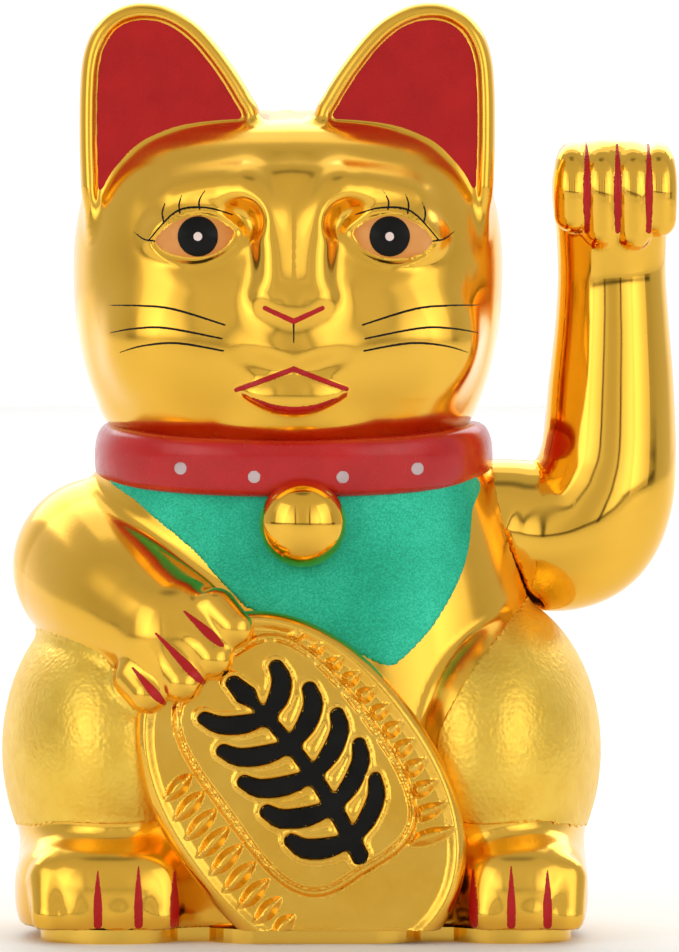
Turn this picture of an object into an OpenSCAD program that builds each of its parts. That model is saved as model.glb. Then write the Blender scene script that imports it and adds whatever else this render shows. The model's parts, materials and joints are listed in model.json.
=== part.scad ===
// Beckoning cat figurine: a plated, two-shell hollow cat with a battery-driven swinging arm.
// Frame: origin at the middle of the base plate's underside, +Z up, the cat faces -Y,
// its raised left arm is on +X. Millimetres.

/* [Figure] */
// Height from the table to the ear tips
figure_h = 200; // [200:1:206]
// Thickness of the moulded shells
wall = 2; // [1.6:0.1:2.4]
// Thickness of the base plate
base_t = 3; // [2.8:0.1:3.2]

/* [Arm] */
// Diameter of the steel axle that carries the arm
axle_d = 3; // [2.6:0.1:3.2]
// Radius of the arm where it enters the shoulder
stub_r = 14.6; // [14:0.1:15]
// Gap between the arm and the shoulder pocket
arm_gap = 0.8; // [0.6:0.1:1]

/* [Drive] */
// Distance from the axle to the bottom of the pendulum cup
pendulum_l = 63.4; // [60:0.1:63.6]
// Diameter of the steel pendulum weight
weight_d = 16; // [14:0.5:16.5]
// Diameter of the drive magnet
magnet_d = 12; // [10:0.5:13]

/* [Battery] */
// Diameter of the dry cell
cell_d = 14.5; // [14:0.1:14.5]
// Length of the dry cell with its positive button
cell_l = 50.5; // [49:0.1:50.5]

/* [Hidden] */

k = figure_h / 200;                 // every sculpted form is drawn at 200 mm and scaled by this
split_y = 2;                        // the shells and the arm halves part on this plane
pivot = [0, split_y, 86.3 * k];     // a point on the arm's axis, which runs along X
head_x = -2.5;                      // the head sits a little off the body's middle
outer_fn = 16;
inner_fn = 10;
outer_rings = 15;
inner_rings = 9;
big = 400;

// Torso and head: [height, middle x, half width, front y, rear y, squareness]
TORSO = [
    [base_t, 0, 55, -46, 42, 3.0],
    [20, 0, 56, -46, 44, 3.0],
    [40, 0, 55.5, -44, 46, 2.8],
    [60, 0, 51.5, -42, 45, 2.6],
    [75, -0.5, 47.5, -40, 42, 2.5],
    [86, -1.5, 44.5, -38, 38, 2.4],
    [96, -2, 42.5, -36.5, 34, 2.4],
    [106, -2.5, 41, -35, 31, 2.4],
    [114, -2.5, 36, -30, 28, 2.4]
];
HEAD = [
    [103.5, head_x, 24, -24, 20, 2.2],
    [106, head_x, 34, -34, 27, 2.3],
    [111, head_x, 40.5, -39.5, 31, 2.4],
    [118, head_x, 43.2, -41.5, 33, 2.5],
    [127, head_x, 44.7, -42.5, 34.5, 2.5],
    [139, head_x, 45, -42.5, 35.5, 2.5],
    [151, head_x, 44.8, -41, 35, 2.5],
    [160, head_x, 43.5, -38, 33.5, 2.4],
    [168, head_x, 39.5, -32, 30, 2.3],
    [173, head_x, 33, -25, 25, 2.2],
    [175.6, head_x, 22, -14, 16, 2.1]
];
COLLAR = [
    [97.4, head_x, 43.4, -39.2, 35.4, 2.4],
    [103.5, head_x, 43.9, -40.2, 35.8, 2.4],
    [109.6, head_x, 42.4, -40.4, 34.4, 2.4]
];

// Smooth value of column c at height z, from the stations of a loft
function segment(st, z, i = 0) = (i >= len(st) - 2 || z < st[i + 1][0]) ? i : segment(st, z, i + 1);
function slope(st, c, i) =
    let (a = max(i - 1, 0), b = min(i + 1, len(st) - 1)) (st[b][c] - st[a][c]) / (st[b][0] - st[a][0]);
function at(st, c, z) =
    let (i = segment(st, z), h = st[i + 1][0] - st[i][0], t = (z - st[i][0]) / h)
    let (p = st[i][c], q = st[i + 1][c], m = slope(st, c, i) * h, n = slope(st, c, i + 1) * h)
    let (between_ends = (2 * t ^ 3 - 3 * t ^ 2 + 1) * p + (3 * t ^ 2 - 2 * t ^ 3) * q)
    between_ends + (t ^ 3 - 2 * t ^ 2 + t) * m + (t ^ 3 - t ^ 2) * n;
function power(v, e) = sign(v) * abs(v) ^ (2 / e);
function ring(st, z, inset, n) = [
    for (i = [0 : n - 1])
        let (a = 360 * i / n, e = at(st, 5, z), back = sin(a) > 0)
        let (depth = back ? at(st, 4, z) : -at(st, 3, z))
        [
            at(st, 1, z) + (at(st, 2, z) - inset) * power(cos(a), e),
            (depth - inset) * power(sin(a), e),
            z
        ]
];

// A closed solid whose cross-sections follow the stations
module loft(st, inset, rings, n) {
    low = st[0][0];
    high = st[len(st) - 1][0] - 3 * inset;
    levels = [for (i = [0 : rings - 1]) low + (high - low) * i / (rings - 1)];
    points = [for (z = levels) each ring(st, z, inset, n)];
    sides = [for (j = [0 : rings - 2], i = [0 : n - 1])
        [j * n + i, (j + 1) * n + i, (j + 1) * n + (i + 1) % n, j * n + (i + 1) % n]];
    bottom = [for (i = [0 : n - 1]) i];
    top = [for (i = [n - 1 : -1 : 0]) (rings - 1) * n + i];
    polyhedron(points = points, faces = concat([bottom], sides, [top]), convexity = 6);
}

module ball(at_point, r) translate(at_point) sphere(r);
module limb(a, ra, b, rb) hull() {
    ball(a, ra);
    ball(b, rb);
}

// Round rods along each axis
module rod_x(x0, x1, y, z, r, fn = 48)
    translate([x0, y, z]) rotate([0, 90, 0]) cylinder(r = r, h = x1 - x0, $fn = fn);
module rod_y(x, y0, y1, z, r, fn = 48)
    translate([x, y1, z]) rotate([90, 0, 0]) cylinder(r = r, h = y1 - y0, $fn = fn);
module rod_z(x, y, z0, z1, r, fn = 48)
    translate([x, y, z0]) cylinder(r = r, h = z1 - z0, $fn = fn);

// ---- sculpted body, drawn at 200 mm; inset shrinks every form for the hollow inside ----

module thigh(side, inset) translate([side * 39.5, -7, 41])
    scale([24.6 - inset, 41 - inset, 31.5 - inset]) sphere(1);

module foot(x0, x1, inset) {
    r = 10.5;
    hull() for (x = [x0 + r, x1 - r], y = [-46, -14]) ball([x, y, 13.5], r - inset);
}

module resting_arm(inset) {
    limb([-42, -3, 79.5], 17.2 - inset, [-34.5, -21, 72], 15.2 - inset);
    limb([-34.5, -21, 72], 15.2 - inset, [-24, -39, 61], 13 - inset);
}

module ear(side, inset) translate([head_x, 0, 0]) hull() {
    for (y = [-11, -3]) {
        ball([side * 31.5, y, 193], 7 - inset);
        ball([side * 36.6, y, 184], 8 - inset);
    }
    for (y = [-13, 4]) {
        ball([side * 13.5, y, 172], 6 - inset);
        ball([side * 37, y, 160], 8 - inset);
    }
}

module coin(inset) intersection() {
    translate([0, -53 + inset, 33]) rotate([-90, 0, 0]) rotate([0, 0, 40]) hull() {
        scale([33 - inset, 24 - inset, 1]) cylinder(r = 1, h = 1, $fn = outer_fn * 2);
        translate([0, 0, 14]) scale([39 - inset, 31 - inset, 1]) cylinder(r = 1, h = 1, $fn = outer_fn * 2);
    }
    translate([-big / 2, -big / 2, base_t]) cube(big);
}

module tail(inset) {
    limb([28, 38, 12], 9 - inset, [37, 30, 30], 8 - inset);
    limb([37, 30, 30], 8 - inset, [34, 36, 47], 7 - inset);
}

module body_form(inset, fn, rings) intersection() {
    union() {
        loft(TORSO, inset, rings, fn * 2);
        loft(HEAD, inset, rings, fn * 2);
        for (side = [-1, 1]) {
            thigh(side, inset, $fn = fn * 2 - 4);
            ear(side, inset, $fn = fn);
        }
        foot(-61, -21, inset, $fn = fn);
        foot(31, 60.5, inset, $fn = fn);
        resting_arm(inset, $fn = fn);
        coin(inset);
        tail(inset, $fn = fn);
        if (inset == 0) loft(COLLAR, inset, 3, fn * 2);
    }
    translate([-big / 2, -big / 2, inset > 0 ? 0 : base_t / k]) cube(big);
}

// The round pocket in the body's left side that the swinging arm turns in
pocket_x = 38.2;
pocket_r = stub_r + arm_gap + 0.4;
module arm_pocket(grow)
    rod_x(pocket_x - grow, 90, pivot.y / k, pivot.z / k, pocket_r + grow, 36);

// Where the shells take the base screws, and where pegs join them to each other
BASE_SCREWS = [[-46, -22], [46, -22], [-44, 26], [44, 26]];
PEGS = [[-27, 150], [22, 150], [-33, 74], [33, 52]];
boss_r = 3.8;

// Bosses left standing in the hollow, each running on into the shell around it
module bosses() {
    for (p = BASE_SCREWS) {
        rod_z(p.x, p.y, -1, 20, boss_r, 12);
        translate([p.x < 0 ? p.x - 30 : p.x, p.y - 1, -1]) cube([30, 2, 18]);
    }
    for (p = PEGS) rod_y(p.x, -60, 60, p.y, boss_r, 12);
}

module body_skin() scale(k) difference() {
    body_form(0, outer_fn, outer_rings);
    arm_pocket(0);
    difference() {
        body_form(wall / k, inner_fn, inner_rings);
        arm_pocket(wall / k);
        bosses();
    }
}

module front_half() translate([-big / 2, -big + split_y, base_t]) cube(big);
module rear_half() translate([-big / 2, split_y, base_t]) cube(big);

module front_shell() color("gold") difference() {
    intersection() {
        body_skin();
        front_half();
    }
    for (p = PEGS) rod_y(p.x, split_y - 9, split_y + 1, p.y * k, 2.2, 12);
    for (p = BASE_SCREWS) if (p.y < 0) rod_z(p.x, p.y, -1, 17, 1.35, 12);
    rod_x(30, 60, pivot.y, pivot.z, axle_d / 2 + 1.4, 16);
    rod_y(bell_at.x, -60, -20, bell_at.z, 2.25, 12);
}

module rear_shell() color("gold") difference() {
    union() {
        intersection() {
            body_skin();
            rear_half();
        }
        for (p = PEGS) rod_y(p.x, split_y - 7, split_y + 4, p.y * k, 2, 12);
    }
    for (p = BASE_SCREWS) if (p.y > 0) rod_z(p.x, p.y, -1, 17, 1.35, 12);
    rod_x(30, 60, pivot.y, pivot.z, axle_d / 2 + 1.4, 16);
}

// ---- base plate and battery bay ----

bay = [59, 15.4, 16.4];             // inside of the battery bay
bay_at = [0, 25.5];
cell_z = 2.8 + cell_d / 2;
door_t = 1.6;
door_gap = 0.4;                     // the door's underside sits this far above the table
door = [62, 17.2];
hinge = [-30.4, 0, door_gap + door_t / 2];
FRAME_SCREWS = [[-34, -15], [-34, 12], [28, -15], [28, 12]];
tray_z = 9;
switch_at = [0, -30.5];

module base_outline() {
    hull() {
        for (x = [-33, 33]) translate([x, -20]) circle(19, $fn = 32);
        for (x = [-26, 26]) translate([x, 13.5]) circle(26.5, $fn = 48);
    }
    hull() for (x = [-40, 44]) translate([x, -32]) circle(12, $fn = 32);
    translate([-40, -37]) circle(15.5, $fn = 36);
    translate([44, -37]) circle(13.5, $fn = 36);
    hull() for (x = [-8, 14]) translate([x, -38]) circle(13, $fn = 36);
}

module base_plate() color("goldenrod") difference() {
    union() {
        linear_extrude(base_t) base_outline();
        translate([bay_at.x - bay.x / 2 - 1.6, bay_at.y - bay.y / 2 - 1.6, base_t - 0.5])
            cube([bay.x + 3.2, bay.y + 3.2, bay.z + 2.1]);
        for (p = FRAME_SCREWS) rod_z(p.x, p.y, base_t - 0.5, tray_z, 3.2);
    }
    translate([bay_at.x - bay.x / 2, bay_at.y - bay.y / 2, -1]) cube([bay.x, bay.y, bay.z + 4]);
    translate([-door.x / 2 - 0.6, bay_at.y - door.y / 2 - 0.3, -1]) cube([door.x + 1, door.y + 0.6, 3.3]);
    rod_y(hinge.x, bay_at.y - door.y / 2 - 1.6, bay_at.y + door.y / 2 + 1.6, hinge.z, 0.65);
    for (p = BASE_SCREWS) {
        rod_z(p.x, p.y, -1, base_t + 1, 1.5);
        rod_z(p.x, p.y, -1, 1.7, 2.8);
    }
    for (p = FRAME_SCREWS) rod_z(p.x, p.y, 2, tray_z + 1, 1.1);
    translate([switch_at.x - 3.6, switch_at.y - 1.7, -1]) cube([7.2, 3.4, base_t + 2]);
    for (x = CONTACTS) translate([x - 0.3, bay_at.y - 1.9, bay.z + 1]) cube([1, 3.8, 5]);
}

module screw(head_r, head_h, shank_r, length) {
    difference() {
        cylinder(r = head_r, h = head_h, $fn = 32);
        for (a = [0, 90]) rotate([0, 0, a]) translate([-head_r * 0.65, -0.3, head_h * 0.45])
            cube([head_r * 1.3, 0.6, head_h]);
    }
    translate([0, 0, -length]) cylinder(r = shank_r, h = length + 0.1, $fn = 32);
}

module base_screws() color("silver") for (p = BASE_SCREWS)
    translate([p.x, p.y, 1.6]) mirror([0, 0, 1]) screw(2.5, 1.2, 1.3, 12);

module battery_door() color("goldenrod") {
    difference() {
        translate([-door.x / 2, bay_at.y - door.y / 2, door_gap]) cube([door.x, door.y, door_t]);
        for (i = [0 : 3])
            translate([door.x / 2 - 10 + i * 2, bay_at.y - 4, door_gap - 0.1]) cube([0.9, 8, 0.5]);
    }
    rod_y(hinge.x, bay_at.y - door.y / 2 - 1.2, bay_at.y + door.y / 2 + 1.2, hinge.z, 0.55);
}

cell_x0 = bay.x / 2 - 1.4 - cell_l;  // the cell's flat end
module battery_cell() color("dimgray") {
    rod_x(cell_x0, cell_x0 + cell_l - 1.5, bay_at.y, cell_z, cell_d / 2, 64);
    rod_x(cell_x0 + cell_l - 1.6, cell_x0 + cell_l, bay_at.y, cell_z, 2.7);
}

// Contact plates at both ends of the bay, each with a solder tab through the roof
plate_t = 0.4;
CONTACTS = [-bay.x / 2 + 0.4, bay.x / 2 - 1.35];
tab_top = bay.z + 6.2;
module contact_plate(x) {
    translate([x, bay_at.y - 5.5, cell_z - 5.5]) cube([plate_t, 11, 14.4]);
    translate([x, bay_at.y - 1.5, cell_z + 8]) cube([plate_t, 3, tab_top - cell_z - 8]);
}
module negative_contact() color("silver") contact_plate(CONTACTS[0]);
module positive_contact() color("silver") contact_plate(CONTACTS[1]);

// Conical wire spring between the flat plate and the cell
spring_x0 = -bay.x / 2 + 0.4 + plate_t + 0.45;
spring_len = cell_x0 - spring_x0 - 0.5;
SPRING = [for (i = [0 : 72]) let (t = i / 72, a = t * 4 * 360, r = 5 - 2.4 * t)
    [spring_x0 + spring_len * t, bay_at.y + r * cos(a), cell_z + r * sin(a)]];
module battery_spring() color("silver") tube(SPRING, 0.4, 6);

// ---- arm and pendulum ----

function unit(v) = v / norm(v);
function tangent(p, i) = unit(p[min(i + 1, len(p) - 1)] - p[max(i - 1, 0)]);
function across(t) = unit(cross(t, abs(t.z) < 0.8 ? [0, 0, 1] : [1, 0, 0]));

// Round tube of radius r with n sides along a list of points
module tube(path, r, n = 8) {
    last = len(path) - 1;
    points = [for (i = [0 : last]) let (t = tangent(path, i), u = across(t), v = cross(t, u))
        for (j = [0 : n - 1]) path[i] + r * (cos(360 * j / n) * u + sin(360 * j / n) * v)];
    sides = [for (i = [0 : last - 1], j = [0 : n - 1])
        let (a = i * n + j, b = i * n + (j + 1) % n) each [[a, b, b + n], [a, b + n, a + n]]];
    ends = [[for (j = [n - 1 : -1 : 0]) j], [for (j = [0 : n - 1]) last * n + j]];
    polyhedron(points, concat(sides, ends), convexity = 8);
}

arm_x = 66.4;                       // middle of the upright forearm
// Forearm from elbow to paw: [x, height, radius]
FOREARM = [
    [60, 87.6, 14.6],
    [65.2, 95, 14],
    [66.4, 107, 13],
    [66.8, 120, 12.3],
    [66.5, 138, 11.6],
    [66, 152, 11.8]
];

module arm_form(inset) {
    rod_x(pocket_x + arm_gap + inset, 60, split_y, pivot.z / k, stub_r - inset, 36);
    for (i = [0 : len(FOREARM) - 2]) let (a = FOREARM[i], b = FOREARM[i + 1])
        limb([a[0], split_y, a[1]], a[2] - inset, [b[0], split_y, b[1]], b[2] - inset);
    limb([65, split_y - 1.5, 158.6], 11 - inset, [67.6, split_y - 1.5, 158.6], 11 - inset);
    limb([61, split_y - 5, 161], 7 - inset, [71.6, split_y - 5, 161], 7 - inset);
}

module arm_shell() difference() {
    scale(k) difference() {
        arm_form(0, $fn = outer_fn);
        arm_form(wall / k, $fn = inner_fn);
    }
    rod_x(30, 64, pivot.y, pivot.z, axle_d / 2 + 0.05, 24);
}

module axle_boss() difference() {
    rod_x(pocket_x * k + arm_gap + 0.2, 62, pivot.y, pivot.z, 4.6, 24);
    rod_x(30, 60.4, pivot.y, pivot.z, axle_d / 2 + 0.05, 24);
}

module arm_front_half() color("gold") intersection() {
    union() {
        arm_shell();
        axle_boss();
    }
    front_half();
}

module arm_rear_half() color("gold") intersection() {
    union() {
        arm_shell();
        axle_boss();
    }
    rear_half();
}

axle_end = -16;
module arm_axle() color("silver") rod_x(axle_end, 60, pivot.y, pivot.z, axle_d / 2);

// Bearing posts and where the pendulum hangs between them
POSTS = [-9, 23];
post_t = 3;
pendulum_x = 7;
cup_low = pivot.z - pendulum_l;
cup_r = weight_d / 2 + 1.2;

// A collar on the outer side of each post keeps the axle in place
collar_w = 3;
COLLAR_X = [POSTS[0] - post_t / 2 - 0.3 - collar_w, POSTS[1] + post_t / 2 + 0.3];
module axle_collars() color("dimgray") for (x = COLLAR_X) difference() {
    rod_x(x, x + collar_w, pivot.y, pivot.z, 3.2);
    rod_x(x - 1, x + collar_w + 1, pivot.y, pivot.z, axle_d / 2 + 0.02);
}

module pendulum_lever() color("white") difference() {
    union() {
        rod_x(pendulum_x - 6, pendulum_x + 6, pivot.y, pivot.z, 6);
        translate([pendulum_x - 2.2, pivot.y - 4.5, cup_low + 18]) cube([4.4, 9, pendulum_l - 20]);
        rod_z(pendulum_x, pivot.y, cup_low, cup_low + 20, cup_r);
        translate([pendulum_x - 4, pivot.y - 1, cup_low + 18]) cube([8, 2, pendulum_l - 22]);
    }
    rod_x(pendulum_x - 8, pendulum_x + 8, pivot.y, pivot.z, axle_d / 2 + 0.02);
    rod_z(pendulum_x, pivot.y, cup_low + 5.6, cup_low + 17.7, weight_d / 2 + 0.05);
    rod_z(pendulum_x, pivot.y, cup_low - 1, cup_low + 4.1, magnet_d / 2 + 0.05);
    rod_z(pendulum_x + 4, pivot.y, pivot.z, pivot.z + 8, 1.05);
}

module lever_screw() color("silver") translate([pendulum_x + 4, pivot.y, pivot.z + axle_d / 2 + 0.02])
    difference() {
        cylinder(r = 1, h = 4.6, $fn = 32);
        translate([-2, -0.2, 4]) cube([4, 0.4, 2]);
    }

module pendulum_weight() color("dimgray")
    rod_z(pendulum_x, pivot.y, cup_low + 5.65, cup_low + 17.65, weight_d / 2);
module drive_magnet() color("silver") rod_z(pendulum_x, pivot.y, cup_low + 0.2, cup_low + 4, magnet_d / 2);

// ---- fixed mechanism ----

tray_t = 2;
tray_top = tray_z + tray_t;
coil_at = [pendulum_x, split_y];
board_at = [-22.5, -1];
board = [19, 22, 1.2];
board_z = tray_top + 2.5;
BOARD_SCREWS = [[board_at.x - 7, board_at.y - 8.5], [board_at.x + 7, board_at.y + 8.5]];

module post(x) {
    foot_z = tray_z + 0.5;
    hole_low = tray_top + 4;
    hole_high = pivot.z - 26;
    translate([x - post_t / 2, 0, 0]) rotate([90, 0, 90]) linear_extrude(post_t) {
        difference() {
            polygon([[-15, foot_z], [14, foot_z], [split_y + 5, pivot.z], [split_y - 5, pivot.z]]);
            polygon([[-8, hole_low], [9, hole_low], [split_y + 3, hole_high], [split_y - 3, hole_high]]);
        }
        translate([split_y, pivot.z]) circle(5.6, $fn = 48);
    }
}

module mechanism_frame() color("ivory") difference() {
    union() {
        translate([-38, -19, tray_z]) cube([69, 34.4, tray_t]);
        for (x = POSTS) post(x);
        rod_z(coil_at.x, coil_at.y, tray_z + 1, tray_top + 8, 2.4);
        for (p = BOARD_SCREWS) rod_z(p.x, p.y, tray_z + 1, board_z, 2.2);
    }
    for (x = POSTS) rod_x(x - 3, x + 3, pivot.y, pivot.z, axle_d / 2 + 0.06);
    for (p = FRAME_SCREWS) rod_z(p.x, p.y, tray_z - 1, tray_top + 1, 1.5);
    for (p = BOARD_SCREWS) rod_z(p.x, p.y, tray_z - 1, board_z + 1, 0.9);
    rod_z(coil_at.x, coil_at.y, tray_z - 1, tray_top + 9, 1);
}

module frame_screws() color("silver") for (p = FRAME_SCREWS)
    translate([p.x, p.y, tray_top]) screw(2.6, 1.4, 1, 8);

coil_low = tray_top;
coil_h = 9.2;
module coil_bobbin() color("white") difference() {
    union() {
        rod_z(coil_at.x, coil_at.y, coil_low, coil_low + 1, 10.5);
        rod_z(coil_at.x, coil_at.y, coil_low, coil_low + coil_h, 4);
        rod_z(coil_at.x, coil_at.y, coil_low + coil_h - 1, coil_low + coil_h, 10.5);
    }
    rod_z(coil_at.x, coil_at.y, coil_low - 1, coil_low + coil_h + 1, 2.5);
}

// The winding's outside follows its top layer of turns
module coil_winding() color("peru") translate([coil_at.x, coil_at.y, 0]) difference() {
    union() {
        rod_z(0, 0, coil_low + 1.05, coil_low + coil_h - 1.05, 9.3);
        for (i = [0 : 7]) rod_z(0, 0, coil_low + 1.2 + i * 0.85, coil_low + 1.7 + i * 0.85, 9.5);
    }
    rod_z(0, 0, coil_low, coil_low + coil_h, 4.05);
}

module circuit_board() color("seagreen") difference() {
    translate([board_at.x - board.x / 2, board_at.y - board.y / 2, board_z]) cube(board);
    for (p = BOARD_SCREWS) rod_z(p.x, p.y, board_z - 1, board_z + 3, 1.1);
}

module board_screws() color("silver") for (p = BOARD_SCREWS)
    translate([p.x, p.y, board_z + board.z]) screw(1.9, 1, 0.85, 4);

board_top = board_z + board.z;
module transistor() color("black") translate([board_at.x - 4, board_at.y + 5, board_top]) {
    difference() {
        rod_z(0, 0, 3, 7.6, 2.3);
        translate([-4, -4, 2]) cube([8, 2.6, 8]);
    }
    for (x = [-1.27, 0, 1.27]) translate([x - 0.2, -0.2, 0]) cube([0.4, 0.4, 3.1]);
}
module capacitor() color("navy") translate([board_at.x + 4.4, board_at.y - 3, board_top]) difference() {
    rod_z(0, 0, 0, 9.5, 2.9);
    for (a = [0, 90]) rotate([0, 0, a]) translate([-2, -0.15, 9.3]) cube([4, 0.3, 1]);
}
module resistor() {
    rod_y(0, -3, 3, 1.5, 1.05);
    for (y = [-4.2, 4.2]) {
        rod_z(0, y, 0, 1.8, 0.28);
        rod_y(0, y - 0.28, y + 0.28, 1.5, 0.28);
    }
    rod_y(0, -4.2, 4.2, 1.5, 0.25);
}
module resistors() color("burlywood")
    for (x = [-6.5, -2.8]) translate([board_at.x + x, board_at.y - 1.5, board_top]) resistor();

// ---- switch ----

module switch_housing() color("darkslategray") difference() {
    translate([switch_at.x - 8, switch_at.y - 3.6, base_t]) cube([16, 7.2, 5.6]);
    translate([switch_at.x - 5, switch_at.y - 2.2, base_t - 1]) cube([10, 4.4, 3.2]);
}
module switch_terminals() color("silver") for (x = [-4, 0, 4])
    translate([switch_at.x + x - 0.9, switch_at.y - 0.25, base_t + 5.6]) cube([1.8, 0.5, 3.6]);
module switch_slider() color("black") {
    translate([switch_at.x - 3, switch_at.y - 1.4, 0.8]) cube([3, 2.8, base_t]);
    translate([switch_at.x - 4.4, switch_at.y - 1.9, base_t + 0.1]) cube([5.8, 3.8, 1.4]);
}

// ---- wires, each a smooth curve through its own points ----

function spline(p, i, t) =
    let (n = len(p) - 1, a = p[max(i - 1, 0)], b = p[i], c = p[min(i + 1, n)], d = p[min(i + 2, n)])
    0.5 * (2 * b + (c - a) * t + (2 * a - 5 * b + 4 * c - d) * t ^ 2 + (3 * b - a - 3 * c + d) * t ^ 3);
function smooth(p, steps) = concat(
    [for (i = [0 : len(p) - 2], s = [0 : steps - 1]) spline(p, i, s / steps)],
    [p[len(p) - 1]]
);

// Each lead ends just above the metal that it is soldered to
plus_top = [CONTACTS[1] + 0.2, bay_at.y, tab_top + 0.65];
minus_top = [CONTACTS[0] + 0.2, bay_at.y, tab_top + 0.65];
terminal_top = base_t + 10;
LEAD_A = [
    plus_top,
    [28.8, 22, 25.6],
    [30.4, 15, 22],
    [33, 5, 18],
    [32, -12, 14],
    [20, -25, 14],
    [4, switch_at.y, terminal_top]
];
LEAD_B = [
    [0, switch_at.y, terminal_top],
    [-6, -27, 17],
    [-12, -19, 19],
    [board_at.x + 6, -10, board_top + 0.6]
];
LEAD_C = [minus_top, [-28.4, 22, 25.6], [-27, 15.5, 22], [board_at.x - 3, 8, board_top + 0.6]];
module positive_leads() color("red") {
    tube(smooth(LEAD_A, 4), 0.65);
    tube(smooth(LEAD_B, 4), 0.65);
}
module negative_lead() color("black") tube(smooth(LEAD_C, 4), 0.65);
module coil_leads() color("peru") for (s = [-1, 1])
    tube(smooth([[coil_at.x - 9.9, coil_at.y + s * 2, coil_low + 4], [-5.4, s * 5 + 2, 19],
        [-12.2, s * 4 + 1, board_top + 3], [board_at.x + 8.2, s * 3.4 - 1, board_top + 0.4]], 4), 0.25, 6);

// ---- bell ----

bell_r = 8.3;
bell_at = [0.4, -39.7, 89.5 * k];
bell_wall = 1.4;
module bell() color("gold") translate(bell_at) rotate([90, 0, 0]) rotate_extrude($fn = 64) polygon(concat(
    [[0, -6.5], [2, -6.5], [2, bell_r - 2]],
    [for (a = [75 : -15 : 0]) (bell_r - bell_wall) * [cos(a), sin(a)]],
    [for (a = [0 : 11.25 : 90]) bell_r * [cos(a), sin(a)]]
));

front_shell();
rear_shell();
base_plate();
base_screws();
bell();
arm_front_half();
arm_rear_half();
arm_axle();
axle_collars();
pendulum_lever();
lever_screw();
pendulum_weight();
drive_magnet();
mechanism_frame();
frame_screws();
coil_bobbin();
coil_winding();
coil_leads();
circuit_board();
board_screws();
transistor();
capacitor();
resistors();
battery_cell();
positive_contact();
negative_contact();
battery_spring();
battery_door();
positive_leads();
negative_lead();
switch_housing();
switch_terminals();
switch_slider();
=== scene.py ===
import json
import math

import bpy
import numpy as np
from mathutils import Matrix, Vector

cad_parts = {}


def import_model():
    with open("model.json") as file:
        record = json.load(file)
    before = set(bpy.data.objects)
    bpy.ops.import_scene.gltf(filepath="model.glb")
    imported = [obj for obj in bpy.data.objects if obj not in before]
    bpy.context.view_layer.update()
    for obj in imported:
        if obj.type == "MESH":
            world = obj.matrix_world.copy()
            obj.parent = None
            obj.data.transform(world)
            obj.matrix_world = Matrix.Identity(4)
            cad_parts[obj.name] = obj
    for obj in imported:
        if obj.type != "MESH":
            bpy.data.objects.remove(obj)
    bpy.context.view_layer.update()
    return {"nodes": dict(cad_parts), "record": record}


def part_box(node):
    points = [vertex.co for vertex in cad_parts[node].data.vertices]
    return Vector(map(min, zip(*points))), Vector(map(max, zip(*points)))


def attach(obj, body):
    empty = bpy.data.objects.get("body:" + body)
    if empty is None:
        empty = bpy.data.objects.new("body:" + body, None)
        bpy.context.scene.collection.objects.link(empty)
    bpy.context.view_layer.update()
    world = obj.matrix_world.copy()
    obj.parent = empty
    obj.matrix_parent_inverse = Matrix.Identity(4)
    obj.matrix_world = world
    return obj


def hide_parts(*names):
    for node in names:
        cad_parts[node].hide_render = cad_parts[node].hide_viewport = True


# A gold-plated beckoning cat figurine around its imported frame. The skins are sculpted as signed distance
# fields in millimetres: negative inside, zero on the surface. Each field is meshed, then its points are
# moved onto the exact surface and take the field's own normals, so that the mirror finish stays clean.
# Left and right are the picture's: left is -X. The figure faces -Y.

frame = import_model()
MM = 0.001
GRID = 1.0     # scales every meshing step; a larger value meshes more coarsely

# ---------------------------------------------------------------- places taken from the frame

SWING = next(j for j in frame["record"]["behaviour"]["joints"] if j["name"] == "arm_swing")
PIVOT_Y, PIVOT_Z = (v / MM for v in SWING["pos_m"][1:])
SPLIT = PIVOT_Y                        # the shells and the arm halves part on this plane
SEAM = 0.05                            # half the gap that shows along the parting line
ARM_GAP = 0.3                          # how far collar and thigh paint stay back from the arm's hole
FLOOR_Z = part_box("front_shell")[0][2] / MM
WALL = 2.2                             # thickness of the mouldings
NECK_Z = 101.8                         # hidden under the collar, where head and torso meet
MID = -1.5                             # the face's own centre line
HEAD_X = -2.9
EYE_Z = 149.3
EYES = {"left": MID - 20.8, "right": MID + 20.8}


# ---------------------------------------------------------------- distance field tools

def smooth_min(a, b, k):
    h = np.maximum(k - np.abs(a - b), 0) / k
    return np.minimum(a, b) - h * h * k * 0.25


def smooth_max(a, b, k):
    return -smooth_min(-a, -b, k)


def turned(p, centre, turn=(0, 0, 0)):
    """The points in a frame at centre, turned by degrees about X, then Y, then Z."""
    q = [p[i] - centre[i] for i in range(3)]
    for axis, angle in enumerate(turn):
        if angle:
            c, s = math.cos(math.radians(angle)), math.sin(math.radians(angle))
            i, j = (axis + 1) % 3, (axis + 2) % 3
            q[i], q[j] = c * q[i] + s * q[j], c * q[j] - s * q[i]
    return q


def ellipsoid(p, centre, radii, turn=(0, 0, 0)):
    q = turned(p, centre, turn)
    k0 = np.sqrt(sum((q[i] / radii[i]) ** 2 for i in range(3)) + 1e-9)
    k1 = np.sqrt(sum((q[i] / radii[i] ** 2) ** 2 for i in range(3)) + 1e-9)
    return k0 * (k0 - 1) / k1


def pillow(p, centre, radii, n):
    """A rounded block with softly bowed faces; n sets how square it is."""
    q = [p[i] - centre[i] for i in range(3)]
    f = (sum(np.abs(q[i] / radii[i]) ** n for i in range(3)) + 1e-9) ** (1 / n)
    far = np.sqrt(sum(v * v for v in q))
    return np.where(f > 0.05, far * (1 - 1 / np.maximum(f, 0.05)), -8.0) * 0.85


def rounded_box(p, centre, half, r):
    q = turned(p, centre)
    d = [np.abs(q[i]) - half[i] + r for i in range(3)]
    out = np.sqrt(sum(np.maximum(v, 0) ** 2 for v in d))
    return out + np.minimum(np.maximum(np.maximum(d[0], d[1]), d[2]), 0) - r


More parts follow.
